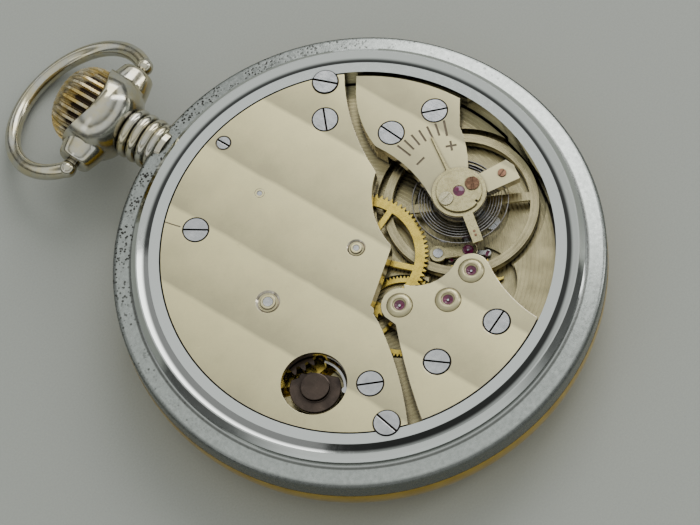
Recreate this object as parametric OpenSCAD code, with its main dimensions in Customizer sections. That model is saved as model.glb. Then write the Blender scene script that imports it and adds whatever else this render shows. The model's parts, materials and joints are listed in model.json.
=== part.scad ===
// Open face pocket watch with its snap back off, so that the movement shows.
// Millimetres. The crystal lies on z = 0, the movement faces +Z, the crown points along +Y.

/* [Movement] */
// Encasing diameter of the movement, 18 lignes
calibre_d = 40.6; // [39.6:0.1:50]
// Thickness of the main plate
plate_t = 3.55; // [3.4:0.05:4.6]
// Height of the bridges above the main plate
bridge_t = 2.7; // [2.6:0.05:3.6]
// Radial gap between the bridges and the case
bridge_gap = 0.15; // [0.05:0.05:0.5]

/* [Case] */
// Radial width of the case band outside the movement
band_w = 4.75; // [3.8:0.05:7]
// Height of the band above the bezel's edge
band_h = 1.9; // [1.4:0.05:2.6]
// Rise of the snap ring above its ledge
ring_rise = 0.3; // [0.1:0.05:0.8]
// Height of the wall that the case back snaps on to
snap_h = 0.85; // [0.6:0.05:1.2]
// Thickness of the crystal
crystal_t = 1.2; // [0.8:0.05:2]
// Height of the space for the hands, from the crystal to the dial
hand_space = 1.7; // [1.6:0.05:3]
// Thickness of the enamelled dial
dial_t = 0.7; // [0.4:0.05:1]

/* [Pendant, bow and crown] */
// Length of the pendant's neck
neck_len = 4.1; // [3.4:0.1:7]
// Radius of the neck between its rings
neck_r = 2.2; // [1.9:0.05:2.7]
// Thickness of the pendant's ears, which hold the bow, outside the crown
ear_t = 1.65; // [1.5:0.05:2.2]
// Radius of the bow's wire
bow_wire_r = 0.85; // [0.7:0.05:1.1]
// Radius of the bow's ring at the middle of its wire
bow_r = 8.3; // [8:0.1:11]
// Radius of the crown
crown_r = 4.35; // [3.6:0.05:5]
// Number of flutes on the crown
crown_flutes = 28; // [20:1:32]
// Travel of the crown when it is pulled to set the hands
pull = 1; // [0.7:0.05:1.1]

/* [Train] */
// Centre of the third wheel
third_at = [-3, -7.2]; // [-12:0.05:12]
// Centre of the fourth wheel, which carries the seconds hand
fourth_at = [0, -11]; // [-12:0.05:12]
// Centre of the escape wheel
escape_at = [3.85, -11.25]; // [-12:0.05:12]
// Centre of the balance
balance_at = [10.45, -5.55]; // [-12:0.05:12]
// Centre of the mainspring barrel
barrel_at = [-9.5, 4.3]; // [-12:0.05:12]
// Teeth on the barrel
barrel_teeth = 72; // [60:1:90]
// Leaves on the centre pinion
center_leaves = 12; // [8:1:14]
// Teeth on the centre wheel
center_teeth = 80; // [60:1:90]
// Leaves on the third pinion
third_leaves = 10; // [8:1:12]
// Teeth on the third wheel
third_teeth = 75; // [60:1:90]
// Leaves on the fourth pinion
fourth_leaves = 10; // [8:1:12]
// Teeth on the fourth wheel
fourth_teeth = 80; // [60:1:90]
// Leaves on the escape pinion
escape_leaves = 8; // [7:1:10]
// Teeth on the escape wheel
escape_teeth = 15; // [15:1:15]
// Tip radius of the escape wheel
escape_r = 3.2; // [2.6:0.05:3.3]
// Thickness of a train wheel
wheel_t = 0.25; // [0.2:0.01:0.3]
// Radius of the arbors between their pivots
arbor_r = 0.25; // [0.2:0.01:0.3]

/* [Balance] */
// Outer radius of the balance rim
rim_r = 7.95; // [6.6:0.05:8]
// Radial width of the balance rim
rim_w = 0.92; // [0.6:0.02:1.1]
// Height of the balance rim
rim_h = 0.9; // [0.6:0.02:0.95]
// Radius of the hairspring's outer coil
coil_r = 4.9; // [4:0.05:5.1]
// Turns of the hairspring inside its outer coil
coil_turns = 12; // [8:1:12]
// Thickness of the hairspring's strip
strip_t = 0.06; // [0.05:0.01:0.1]
// Radius of the roller table
roller_r = 1.75; // [1.6:0.05:1.9]

/* [Winding and motion work] */
// Centre of the crown wheel
crown_wheel_at = [0, 11.85]; // [-12:0.05:12]
// Teeth on the ratchet wheel
ratchet_teeth = 48; // [40:1:54]
// Teeth on the crown wheel
crown_wheel_teeth = 28; // [24:1:30]
// Teeth on the winding pinion
winding_teeth = 14; // [10:1:18]
// Radius of the stem in the movement
stem_r = 0.55; // [0.5:0.01:0.6]
// Centre of the minute wheel
minute_at = [0, 3.6]; // [-12:0.05:12]
// Centre of the setting wheel
setting_at = [0, 8.1]; // [-12:0.05:12]

/* [Screws and jewels] */
// Radius of the bridge and case screws' heads
head_r = 1.3; // [1:0.05:1.45]
// Height of the bridge screws' heads
head_t = 0.5; // [0.35:0.05:0.7]
// Radius of the train jewels
jewel_r = 0.55; // [0.45:0.01:0.65]
// Radius of the raised settings round the train jewels
setting_r = 1.28; // [1:0.02:1.5]

/* [Hidden] */
$fn = 48;

// Clearances
slack = 0.03;        // radial running clearance of every arbor and screw
side_gap = 0.15;     // clearance between a moving face and the wall beside it
escape_gap = 0.24;   // the pallet stones stay this far from the escape teeth
click_gap = 0.08;    // the click stays this far from the ratchet teeth
cut = 1;             // how far a cutting tool runs past the face it cuts

// Radii of the case, from the movement outwards
plate_r = calibre_d / 2;
bridge_r = plate_r - 0.3 - bridge_gap;
ledge_r = plate_r - 0.3;
ledge_w = 1.1;
case_r = plate_r + band_w;
snap_r = case_r - 2.15;
ring_top_r = snap_r - 0.7;
band_inner_r = plate_r + 0.1;
bezel_seat_r = case_r - 0.85;
crystal_r = plate_r + 1.15;
lip_r = plate_r + 0.3;

// Levels, from the crystal's face upwards
dial_z = crystal_t + hand_space;
plate_z = dial_z + dial_t + 0.15;
flange_z = plate_z + 1.45;
top_z = plate_z + plate_t;
bridge_z = top_z + bridge_t;
snap_top_z = bridge_z + ring_rise - 0.6;
snap_low_z = snap_top_z - snap_h;
shoulder_z = snap_low_z - 0.35;
bezel_top_z = shoulder_z - 0.45 - band_h;
stem_z = top_z - 0.5;
web_z = plate_z + 0.7;           // top of the recess for the motion work
barrel_floor = plate_z + 1.2;
work_z = plate_z + 0.35;         // top of the keyless levers' recess less their clearance

// Levels of the train, hung from the top of the bridges
center_z = bridge_z - 2.3;
center_t = 0.3;
third_z = top_z - 0.2;
fourth_z = top_z - 0.65;
escape_z = top_z - 1.1;
fork_z = top_z - 1.15;
fork_t = 0.35;
pallet_cock_z = top_z - 0.55;
rim_top = top_z + 0.2;
arm_t = 0.3;
balance_floor = top_z - 1;
escape_floor = top_z - 1.3;
ratchet_z = bridge_z - 1.7;
ratchet_t = 0.6;
ceiling = bridge_z - 0.95;       // underside of the bridge over the winding wheels
cock_z = bridge_z - 1;           // underside of the balance cock's arm
coil_z = cock_z - 0.8;
coil_h = 0.4;
drum_z = barrel_floor + 0.15;
drum_top = top_z + 0.15;
jewel_z = plate_z + 0.45;        // underside of the jewels in the main plate

// Tooth form, in tooth modules: heights above and below the pitch circle, then half widths
wheel_add = 1.1;
wheel_ded = 1.1;
wheel_half = [0.95, 0.74, 0.22];
leaf_add = 0.65;
leaf_ded = 1.35;
leaf_half = [0.42, 0.5, 0.26];

// Places that follow from the train
origin = [0, 0];
escape_line = heading(escape_at, balance_at);
pallet_at = escape_at + polar(escape_r / cos(30), escape_line);
ratchet_m = tooth_size(barrel_at, crown_wheel_at, ratchet_teeth, crown_wheel_teeth);
ratchet_r = ratchet_m * ratchet_teeth / 2;
crown_wheel_r = ratchet_m * crown_wheel_teeth / 2;
barrel_m = tooth_size(barrel_at, origin, barrel_teeth, center_leaves);
center_m = tooth_size(origin, third_at, center_teeth, third_leaves);
third_m = tooth_size(third_at, fourth_at, third_teeth, fourth_leaves);
fourth_m = tooth_size(fourth_at, escape_at, fourth_teeth, escape_leaves);
barrel_tip_r = barrel_m * (barrel_teeth / 2 + wheel_add);
drum_r = barrel_m * (barrel_teeth / 2 - wheel_ded) - 0.2;
center_tip_r = center_m * (center_teeth / 2 + wheel_add);
third_tip_r = third_m * (third_teeth / 2 + wheel_add);
fourth_tip_r = fourth_m * (fourth_teeth / 2 + wheel_add);
rim_clear_r = rim_r + 0.7;

// Motion work: the cannon pinion turns the hour wheel twelve times slower
cannon_leaves = 12;
minute_teeth = 36;
minute_leaves = 10;
hour_teeth = 40;
setting_teeth = 24;
minute_m = tooth_size(origin, minute_at, cannon_leaves, minute_teeth);
hour_m = tooth_size(origin, minute_at, minute_leaves, hour_teeth);
cannon_r = 0.58;
hour_pipe_r = 0.95;
motion_z = plate_z + 0.35;
hour_z = plate_z - 0.07;

// Keyless work along the stem
winding_y = crown_wheel_at[1] + crown_wheel_r - 1.1;
winding_len = 1.8;
winding_r = 1.4;
clutch_r = 1.1;
clutch_y = 11.2;
clutch_end = winding_y - 0.3;
clutch_groove_y = 12.9;
clutch_groove_r = 0.8;
clutch_travel = 0.8;
square_w = 0.7;
finger_r = 0.2;
lever_at = [2.8, 18.3];
lever_pin = [0.6, 17.95];
lever_groove_r = 0.35;
yoke_at = [4.6, clutch_groove_y - clutch_travel / 2];
yoke_finger = [clutch_groove_r + slack + finger_r, clutch_groove_y];
key_z = plate_z + 0.05;
key_t = 0.4;

// Click in the round window of the barrel bridge
window_at = [-14.4, -4.6];
window_r = 3.3;
click_at = window_at;
click_t = 0.55;
click_line = heading(click_at, barrel_at);
ratchet_tip_r = ratchet_r + ratchet_m * wheel_add;

// Pendant, bow and crown
pendant_y = sqrt(case_r * case_r - neck_r * neck_r) - 0.4;
neck_end = case_r + neck_len;
ears_w = 2 * (crown_r + ear_t);
bow_y = neck_end + 2.8;
pendant_top = bow_y + 2.25;
crown_y = bow_y - 0.5;
crown_h = 5.85;
pin_x = ears_w / 2 + bow_wire_r + 0.1;
pin_r = 0.7;
pin_len = 1.15;
bow_lift = sqrt(bow_r * bow_r - pin_x * pin_x);
bow_rest = asin((stem_z - bow_wire_r - 0.03) / (bow_lift + bow_r));

// Balance furniture
curb_line = -128;
index_line = 57;
scale_line = 62.6;
stud_at = balance_at + polar(4.8, -31.4);
stud_r = 0.35;
cap_r = 2.3;
boss_r = 2;
regulator_r = 2.75;
regulator_t = 0.25;
balance_arm_line = 128;
orbit_r = 1.45;
impulse_r = 0.2;
fork_len = norm(balance_at - pallet_at) - orbit_r - impulse_r - 0.12;

// Screws: place, and the angle of the slot as it was left
bridge_screw_list = [
    [[-6.75, 15.1], -60], [[10.4, 10.8], 42], [[-11.5, -9.35], -50],
    [[-6.15, -13.7], -65], [[0.5, -16.4], 0], [[12.6, 4.1], 85], [[17, 1.7], -47]
];
case_screw_r = ledge_r - 0.75;
case_screw_list = [[polar(case_screw_r, 43.3), -71], [polar(case_screw_r, 222.7), 80]];
screw_r = 0.45;
head_gap = 0.09;
slot_w = 0.2;

// ---- Geometry helpers ----

function polar(r, a) = [r * cos(a), r * sin(a)];

function heading(p, q) = atan2(q[1] - p[1], q[0] - p[0]);

function tooth_size(p, q, n1, n2) = 2 * norm(q - p) / (n1 + n2);

function arc(c, r, a0, a1, n = 12) = [for (i = [0:n]) c + polar(r, a0 + (a1 - a0) * i / n)];

// Points on an arc from a to b that bulges by sag, to the left when sag is positive
function curve(a, b, sag, n = 10) =
    let (
        half = norm(b - a) / 2,
        side = sign(sag),
        r = (half * half + sag * sag) / (2 * abs(sag)),
        u = (b - a) / (2 * half),
        c = (a + b) / 2 + [-u[1], u[0]] * side * (abs(sag) - r),
        a0 = heading(c, a),
        sweep = -side * 2 * asin(half / r)
    )
    [for (i = [0:n]) c + polar(r, a0 + sweep * i / n)];

// Angle at which a gear's first tooth must stand to mesh with a gear turned by phase
function mesh_phase(at, phase, n, mate_at, mate_n) =
    let (line = heading(at, mate_at))
    line + 180 - 360 / mate_n * (0.5 - (line - phase) * n / 360);

// Outline of a gear with n teeth of size m
function gear(n, m, add, ded, half) =
    let (r = n * m / 2, d = 180 / PI)
    [for (i = [0:n - 1]) for (s = [
        [r - ded * m, -half[0]], [r, -half[1]], [r + add * m, -half[2]],
        [r + add * m, half[2]], [r, half[1]], [r - ded * m, half[0]]
    ]) polar(s[0], 360 * i / n + s[1] * m / s[0] * d)];

function wheel_outline(n, m) = gear(n, m, wheel_add, wheel_ded, wheel_half);

function leaf_outline(n, m) = gear(n, m, leaf_add, leaf_ded, leaf_half);

// Outline of a turned piece from its steps, each [radius, from, to]
function turned(steps) = concat(
    [[0, steps[0][1]]],
    [for (s = steps) for (z = [s[1], s[2]]) [s[0], z]],
    [[0, steps[len(steps) - 1][2]]]
);

module at(p, z = 0, a = 0) {
    translate([p[0], p[1], z]) rotate(a) children();
}

module arbor(steps) {
    rotate_extrude() polygon(turned(steps));
}

// Stands what is drawn along Z on the stem's axis, with z = 0 at y
module on_stem(y = 0) {
    translate([0, y, stem_z]) rotate([-90, 0, 0]) children();
}

// A cylinder between two heights at a place on the plate
module drum(p, r, z0, z1) {
    translate([p[0], p[1], z0]) cylinder(r = r, h = z1 - z0);
}

// A crossed wheel: toothed rim, arms and hub, in the plane
module crossed_wheel(n, m, rim, hub_r, bore_r, arms, arm_w) {
    rim_in = m * (n / 2 - wheel_ded) - rim;
    difference() {
        union() {
            difference() {
                polygon(wheel_outline(n, m));
                circle(r = rim_in);
            }
            circle(r = hub_r);
            for (i = [0:arms - 1]) rotate(360 * i / arms)
                translate([0, -arm_w / 2]) square([rim_in + rim / 2, arm_w]);
        }
        circle(r = bore_r);
    }
}

// A slotted screw with the top of its head at z = 0
module screw(r, t, shank_r, length, slot_a) {
    difference() {
        arbor([[shank_r, -length, -t], [r, -t, 0]]);
        rotate(slot_a) translate([-r - cut, -slot_w / 2, -0.45 * t]) cube([2 * (r + cut), slot_w, t]);
    }
}

// A pierced stone with an oil sink in its upper face
module hole_jewel(r, hole_r, z, t) {
    difference() {
        translate([0, 0, z]) cylinder(r = r, h = t);
        translate([0, 0, z - cut]) cylinder(r = hole_r, h = t + 2 * cut);
        translate([0, 0, z + t - 0.12]) cylinder(r1 = hole_r, r2 = r * 0.75, h = 0.121);
    }
}

// A flat spiral made of half rings, its outer end at angle 0, run in clockwise
module spiral(outer_r, turns, pitch, t, h) {
    for (i = [0:2 * turns - 1]) {
        r = outer_r - i * pitch / 2;
        translate([i % 2 == 0 ? 0 : pitch / 2, 0, 0]) rotate(i % 2 == 0 ? 180 : 0)
            rotate_extrude(angle = 180) translate([r - t / 2, 0]) square([t, h]);
    }
}

// ---- Case ----

// Outside of the case band, from the bezel's seat up to the snap ring's top
case_outside = concat(
    [[case_r, bezel_top_z]],
    arc([case_r - 0.5, shoulder_z - 0.5], 0.5, 0, 80, 5),
    [
        [snap_r + 0.25, snap_low_z - 0.1], [snap_r, snap_low_z], [snap_r, snap_top_z],
        [ring_top_r + 0.15, bridge_z + ring_rise], [ring_top_r, bridge_z + ring_rise]
    ]
);

module case_middle() {
    color("gainsboro") difference() {
        rotate_extrude() polygon(concat(
            [[band_inner_r, dial_z + 0.1], [bezel_seat_r, dial_z + 0.1], [bezel_seat_r, bezel_top_z]],
            case_outside,
            [
                [ledge_r + ledge_w, bridge_z], [ledge_r, bridge_z],
                [ledge_r, flange_z], [band_inner_r, flange_z]
            ]
        ));
        on_stem(ledge_r - cut) cylinder(r = neck_r - 0.4, h = band_w + 2 * cut);
        for (s = case_screw_list) drum(s[0], head_r + head_gap, bridge_z - 0.25, bridge_z + cut);
        // Notch for the blade that lifts the case back
        translate([0, 0, snap_top_z - 0.12]) rotate_extrude(angle = 12, start = 28)
            translate([snap_r - 0.45, 0]) square([1, 1]);
    }
}

module bezel() {
    z0 = 0.3;
    color("goldenrod") difference() {
        rotate_extrude() polygon(concat(
            [[crystal_r + 0.35, z0], [crystal_r, z0 + 0.25], [crystal_r, crystal_t], [lip_r, crystal_t]],
            [[lip_r + 0.2, dial_z - 0.1], [bezel_seat_r + 0.02, dial_z - 0.1], [bezel_seat_r + 0.02, bezel_top_z]],
            curve([case_r + 0.02, bezel_top_z], [crystal_r + 0.35, z0], 1.1, 14)
        ));
        on_stem(bezel_seat_r - cut) cylinder(r = neck_r + 0.62, h = 4);
    }
}

module crystal() {
    color("lightcyan", 0.35) rotate_extrude() polygon([
        [0, 0], [crystal_r - 1.8, 0], [crystal_r, 0.62 * crystal_t], [crystal_r, crystal_t], [0, crystal_t]
    ]);
}

// Neck with its rings, then the head: a cup for the crown on a bar whose ends are the bow's ears
module pendant() {
    ring = 0.6;
    ear_r = 1.85;
    cup_r = crown_r + 0.4;
    dip = 2.45;            // how far the cup's lip falls between the ears
    saddle_r = (cup_r * cup_r + dip * dip) / (2 * dip);
    cup = concat(
        [[0, neck_end - 0.8], [neck_r, neck_end - 0.8]],
        curve([neck_r + 0.15, neck_end - 0.25], [cup_r, bow_y - 0.8], -0.35, 10),
        [[cup_r, pendant_top + 0.5], [0, pendant_top + 0.5]]
    );
    color("silver") difference() {
        on_stem() difference() {
            union() {
                rotate_extrude() {
                    translate([0, pendant_y - 0.6]) square([neck_r, neck_end - pendant_y + 0.6]);
                    translate([0, case_r - 2]) square([neck_r - 0.4, 2]);
                    translate([neck_r - 0.05, case_r + 0.02]) circle(r = 0.5, $fn = 24);
                    for (k = [0:2]) translate([neck_r - 0.05, case_r + neck_len * (0.23 + 0.285 * k)])
                        circle(r = ring, $fn = 24);
                }
                intersection() {
                    rotate_extrude() polygon(cup);
                    translate([-ears_w, 0, pendant_top - saddle_r]) rotate([0, 90, 0]) cylinder(r = saddle_r, h = 2 * ears_w);
                }
                ear_spindle(2.7, ear_r, ears_w / 2, -0.25);
            }
            translate([0, 0, crown_y - 0.1]) cylinder(r = crown_r + 0.1, h = crown_h);
            translate([0, 0, case_r - 3]) cylinder(r = 1.2, h = pendant_top);
            for (s = [-1, 1]) translate([s * (ears_w / 2 + cut), 0, bow_y])
                rotate([0, -s * 90, 0]) cylinder(r = pin_r + slack, h = pin_len + cut + 0.05);
        }
        difference() {
            rotate_extrude() polygon(concat([[0, bezel_top_z - 3], [case_r, bezel_top_z - 3]], case_outside,
                [[0, bridge_z + ring_rise]]));
            on_stem(case_r - 2) cylinder(r = neck_r - 0.4, h = 3);
        }
    }
}

// Solid turned about the ears' axis, thickest in the middle
module ear_spindle(mid_r, end_r, half_w, sag) {
    translate([0, 0, bow_y]) rotate([0, 90, 0]) rotate_extrude() polygon(concat(
        [[0, -half_w], [end_r - 0.2, -half_w]],
        curve([end_r, 0.2 - half_w], [mid_r, 0], sag, 8),
        curve([mid_r, 0], [end_r, half_w - 0.2], sag, 8),
        [[end_r - 0.2, half_w], [0, half_w]]
    ));
}

module bow() {
    start = acos(pin_x / bow_r);
    color("silver") translate([0, bow_y, stem_z]) rotate([-bow_rest, 0, 0]) {
        translate([0, bow_lift, 0]) rotate(-start)
            rotate_extrude(angle = 180 + 2 * start) translate([bow_r, 0]) circle(r = bow_wire_r);
        for (s = [-1, 1]) translate([s * pin_x, 0, 0]) {
            sphere(r = bow_wire_r + 0.08);
            rotate([0, -s * 90, 0]) cylinder(r = pin_r, h = pin_len + bow_wire_r);
        }
    }
}

// Domed crown with flutes that run over its shoulder
module crown() {
    base = 3;
    dome_r = crown_r - 1.6;
    flute_r = 0.33;
    fade = 0.52;           // the flutes run out over the shoulder of the dome
    rise = crown_h - base - dome_r;
    color("tan") on_stem(crown_y) difference() {
        rotate_extrude() polygon(concat(
            [[0, 0.4], [crown_r - 0.9, 0.4], [crown_r - 0.8, 0], [crown_r - 0.15, 0], [crown_r, 0.2]],
            arc([crown_r - dome_r, base], dome_r, 0, 90, 14),
            curve([crown_r - dome_r, base + dome_r], [0, base + dome_r + rise], 0.05, 3)
        ));
        for (i = [0:crown_flutes - 1]) rotate(360 * i / crown_flutes) {
            translate([crown_r + 0.03, 0, -cut]) cylinder(r = flute_r, h = base + cut);
            translate([crown_r - dome_r - fade, 0, base]) rotate([90, 0, 0])
                rotate_extrude(angle = 66) translate([dome_r + fade + 0.03, 0]) circle(r = flute_r);
        }
        translate([0, 0, -cut]) cylinder(r = 1, h = cut + 2.2);
    }
}

// Winding stem: pilot, square for the clutch, groove for the setting lever
module stem() {
    square_end = winding_y + 0.3;
    groove = 0.35;
    color("dimgray") on_stem() {
        arbor([[0.34, clutch_y - 2, clutch_y - 0.9]]);
        translate([-square_w / 2, -square_w / 2, clutch_y - 0.9]) cube([square_w, square_w, square_end - clutch_y + 1]);
        arbor([
            [0.5, square_end, winding_y + winding_len + 0.25],
            [stem_r, winding_y + winding_len + 0.25, lever_pin[1] - groove],
            [lever_groove_r, lever_pin[1] - groove, lever_pin[1] + groove],
            [stem_r, lever_pin[1] + groove, plate_r + 0.3],
            [0.8, plate_r + 0.3, neck_end],
            [1, neck_end, crown_y + 2.2]
        ]);
    }
}

module case_screws() {
    color("silver") for (s = case_screw_list) at(s[0], bridge_z + 0.15) screw(head_r, 0.4, screw_r - 0.05, 2.6, s[1]);
}

// ---- Plates ----

// A round hole through the main plate for an arbor and its jewel
module arbor_hole(p, r) {
    drum(p, r, plate_z - cut, top_z + cut);
}

module main_plate() {
    key_depth = plate_z + 0.55;
    color("tan") difference() {
        union() {
            drum(origin, plate_r, plate_z, flange_z);
            drum(origin, bridge_r, flange_z, top_z);
        }
        // Movement side
        drum(barrel_at, barrel_tip_r + side_gap, barrel_floor, top_z + cut);
        drum(origin, 1.9, barrel_floor, top_z + cut);
        drum(third_at, third_tip_r + side_gap, third_z - side_gap, top_z + cut);
        drum(fourth_at, fourth_tip_r + side_gap, fourth_z - side_gap, top_z + cut);
        drum(escape_at, escape_r + 1.25, escape_floor, top_z + cut);
        drum(balance_at, rim_clear_r, balance_floor, top_z + cut);
        drum(balance_at, 4.85, balance_floor - 0.3, top_z);
        at(pallet_at, escape_floor, heading(pallet_at, balance_at)) translate([-1.2, -1.3, 0])
            cube([fork_len + 1.6, 2.6, 2]);
        // Dial side
        drum(origin, hour_m * (hour_teeth / 2 + wheel_add) + side_gap, plate_z - cut, web_z);
        drum(minute_at, minute_m * (minute_teeth / 2 + wheel_add) + side_gap, plate_z - cut, web_z);
        drum(setting_at, minute_m * (setting_teeth / 2 + wheel_add) + side_gap, plate_z - cut, web_z);
        keyless_pocket(plate_z - cut, key_depth);
        // Stem, clutch and winding pinion
        on_stem(clutch_y - 2.2) cylinder(r = 0.34 + slack, h = 2);
        translate([-1.6, clutch_y - 1, plate_z - cut]) cube([3.2, winding_y + winding_len - clutch_y + 1.1, plate_t + 2 * cut]);
        on_stem(winding_y) cylinder(r = stem_r + slack, h = plate_r);
        translate([0.25, lever_pin[1] - 0.3, plate_z - cut]) cube([0.75, pull + 0.6, stem_z - plate_z + cut + 0.3]);
        translate([0.7, yoke_finger[1] - clutch_travel - 0.3, plate_z - cut]) cube([1, clutch_travel + 0.6, stem_z - plate_z]);
        // Arbors, jewels and screws
        arbor_hole(origin, 0.7 + slack);
        for (p = [third_at, fourth_at, escape_at, pallet_at, balance_at]) arbor_hole(p, jewel_r);
        drum(barrel_at, 0.9 + slack, plate_z + 0.3, top_z);
        arbor_hole(lever_at, 0.3 + slack);
        for (s = bridge_screw_list) drum(s[0], screw_r + slack, plate_z + 0.9, top_z + cut);
        for (s = case_screw_list) drum(s[0], screw_r - 0.05 + slack, plate_z + 0.9, top_z + cut);
        for (p = dial_feet) drum(p, 0.4 + slack, plate_z - cut, plate_z + 1.3);
        drum(foot_screw_at, 0.3 + slack, plate_z + 0.9, top_z);
        drum(plate_screw_at, 0.3 + slack, plate_z + 0.5, top_z);
    }
    color("tan") {
        // Click post, motion work posts and banking pins
        drum(click_at, 0.45, top_z, ratchet_z + click_t + 0.02);
        drum(minute_at, 0.35, plate_z - 0.1, web_z);
        drum(setting_at, 0.4, plate_z, web_z);
        drum(yoke_at, 0.4, plate_z, key_depth);
        for (s = [-1, 1]) at(pallet_at, escape_floor, heading(pallet_at, balance_at))
            translate([2.3, s * 0.75, 0]) cylinder(r = 0.12, h = 0.6);
    }
}

dial_feet = [polar(17.5, 155), polar(17.5, -50)];
foot_screw_at = [4.75, -6.45];
plate_screw_at = [10.8, -9.05];

// Pocket on the dial side in which the setting lever and the yoke swing
module keyless_pocket(z0, z1) {
    translate([0, 0, z0]) linear_extrude(z1 - z0) {
        translate(lever_at) circle(r = 1.25);
        polygon([[-0.4, 17.2], [2.8, 17], [4.2, 18.3], [2.8, 19.5], [-0.2, 19.6]]);
        translate(yoke_at) circle(r = 1.3);
        polygon([[0.2, 11], [4.6, 11.2], [4.6, 13.8], [0.2, 13.9]]);
        polygon([[2.9, 12.5], [5.8, 12.5], [5.4, 16.3], [2.6, 16.3]]);
    }
}

// Three-quarter plate over the barrel, the centre wheel and the winding wheels
module barrel_bridge() {
    edge = [[15.9, 12.1], [8.1, 3.05], [1.7, -3.05], [-4.55, -4.75], [-13.2, -14.9]];
    far = calibre_d;
    color("wheat") difference() {
        union() {
            difference() {
                translate([0, 0, top_z]) linear_extrude(bridge_t) difference() {
                    intersection() {
                        circle(r = bridge_r);
                        polygon(concat(
                            curve(edge[0], edge[1], -0.8, 8), [[5, -1], edge[2]],
                            [edge[3] + [0.35, 0.09]], curve(edge[3], edge[3] + [-0.6, -0.75], 0.2, 4),
                            curve([-5.6, -6.4], edge[4], 0.45, 6),
                            [[-far, -far], [-far, far], [far, far]]
                        ));
                    }
                    translate(balance_at) circle(r = rim_clear_r + 0.2);
                    translate(window_at) circle(r = window_r);
                }
                drum(barrel_at, barrel_tip_r + side_gap, top_z - cut, drum_top + side_gap);
                drum(barrel_at, ratchet_tip_r + side_gap, top_z - cut, ceiling);
                drum(origin, center_tip_r + side_gap, top_z - cut, center_z + center_t + side_gap);
                drum(third_at, third_tip_r + side_gap, top_z - cut, third_z + wheel_t + side_gap);
                drum(crown_wheel_at, crown_wheel_r + 0.5, top_z - cut, ceiling);
                translate([-1.6, clutch_y - 1, top_z - cut])
                    cube([3.2, winding_y + winding_len - clutch_y + 1.1, ratchet_z - top_z + cut - 0.05]);
                on_stem(winding_y) cylinder(r = stem_r + slack, h = plate_r);
                translate([0.25, lever_pin[1] - 0.3, top_z - cut]) cube([0.75, pull + 0.6, cut + 0.15]);
            }
            drum(crown_wheel_at, 1.2, ratchet_z - 0.05, bridge_z - 0.1);
        }
        pivot_sink(origin, 0.95, 0.3);
        pivot_sink(barrel_at, 1.25, 0.5);
        pivot_sink(crown_wheel_at, 0.5, 0.25);
        drum(crown_wheel_at, 0.35, ratchet_z - cut, bridge_z - 0.5);
        drum(lever_at, 0.3 + slack, top_z - cut, bridge_z + cut);
        drum(lever_at, 0.72 + slack, bridge_z - 0.45, bridge_z + cut);
        for (i = [0:2]) screw_hole(bridge_screw_list[i][0]);
        for (s = case_screw_list) case_screw_hole(s[0]);
        // Fine line scribed beside the upper screw
        at([-7.7, 18.5], bridge_z - 0.06, heading([-7.7, 18.5], [-7.25, 16.45])) translate([0, -0.05, 0]) cube([1.9, 0.1, 1]);
    }
}

// Counterbored hole for a bridge screw
module screw_hole(p) {
    drum(p, screw_r + slack, top_z - cut, bridge_z + cut);
    drum(p, head_r + head_gap, bridge_z - head_t, bridge_z + cut);
}

module case_screw_hole(p) {
    drum(p, screw_r - 0.05 + slack, top_z - cut, bridge_z + cut);
    drum(p, head_r + head_gap, bridge_z - 0.25, bridge_z + cut);
}

// Dished sink round an upper pivot, with a raised ring left in it
module pivot_sink(p, r, pivot_r) {
    drum(p, pivot_r + slack, top_z, bridge_z + cut);
    translate([p[0], p[1], bridge_z - 0.2]) rotate_extrude() polygon([
        [pivot_r + 0.25, 0.21], [pivot_r + 0.3, 0], [r * 0.8, 0], [r, 0.21]
    ]);
}

// Bridge of the third, fourth and escape wheels
module train_bridge() {
    nose_r = 1.9;
    color("wheat") difference() {
        translate([0, 0, top_z]) linear_extrude(bridge_t) intersection() {
            circle(r = bridge_r);
            difference() {
                polygon(concat(
                    curve([-13.6, -17.8], [-4.95, -8], 0.3, 6),
                    arc(third_at, nose_r, 160, 20, 8),
                    curve([-0.9, -6.3], [3.3, -9.4], -0.85, 8),
                    arc(escape_at, nose_r, 84, -14, 8),
                    curve([5.45, -12.3], [3, -19.2], -0.5, 8),
                    [[3, -21]]
                ));
            }
        }
        drum(third_at, third_tip_r + side_gap, top_z - cut, center_z + 0.6);
        drum(fourth_at, fourth_tip_r + side_gap, top_z - cut, center_z + 0.6);
        drum(escape_at, 1.4, top_z - cut, center_z + 0.6);
        drum(origin, center_tip_r + side_gap, top_z - cut, center_z + 0.6);
        drum(balance_at, rim_clear_r + 0.2, top_z - cut, center_z + 0.6);
        for (p = [third_at, fourth_at, escape_at]) {
            drum(p, setting_r, bridge_z - 0.5, bridge_z + cut);
            drum(p, arbor_r + 0.15, top_z - cut, bridge_z + cut);
        }
        for (i = [3:4]) screw_hole(bridge_screw_list[i][0]);
    }
}

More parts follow.
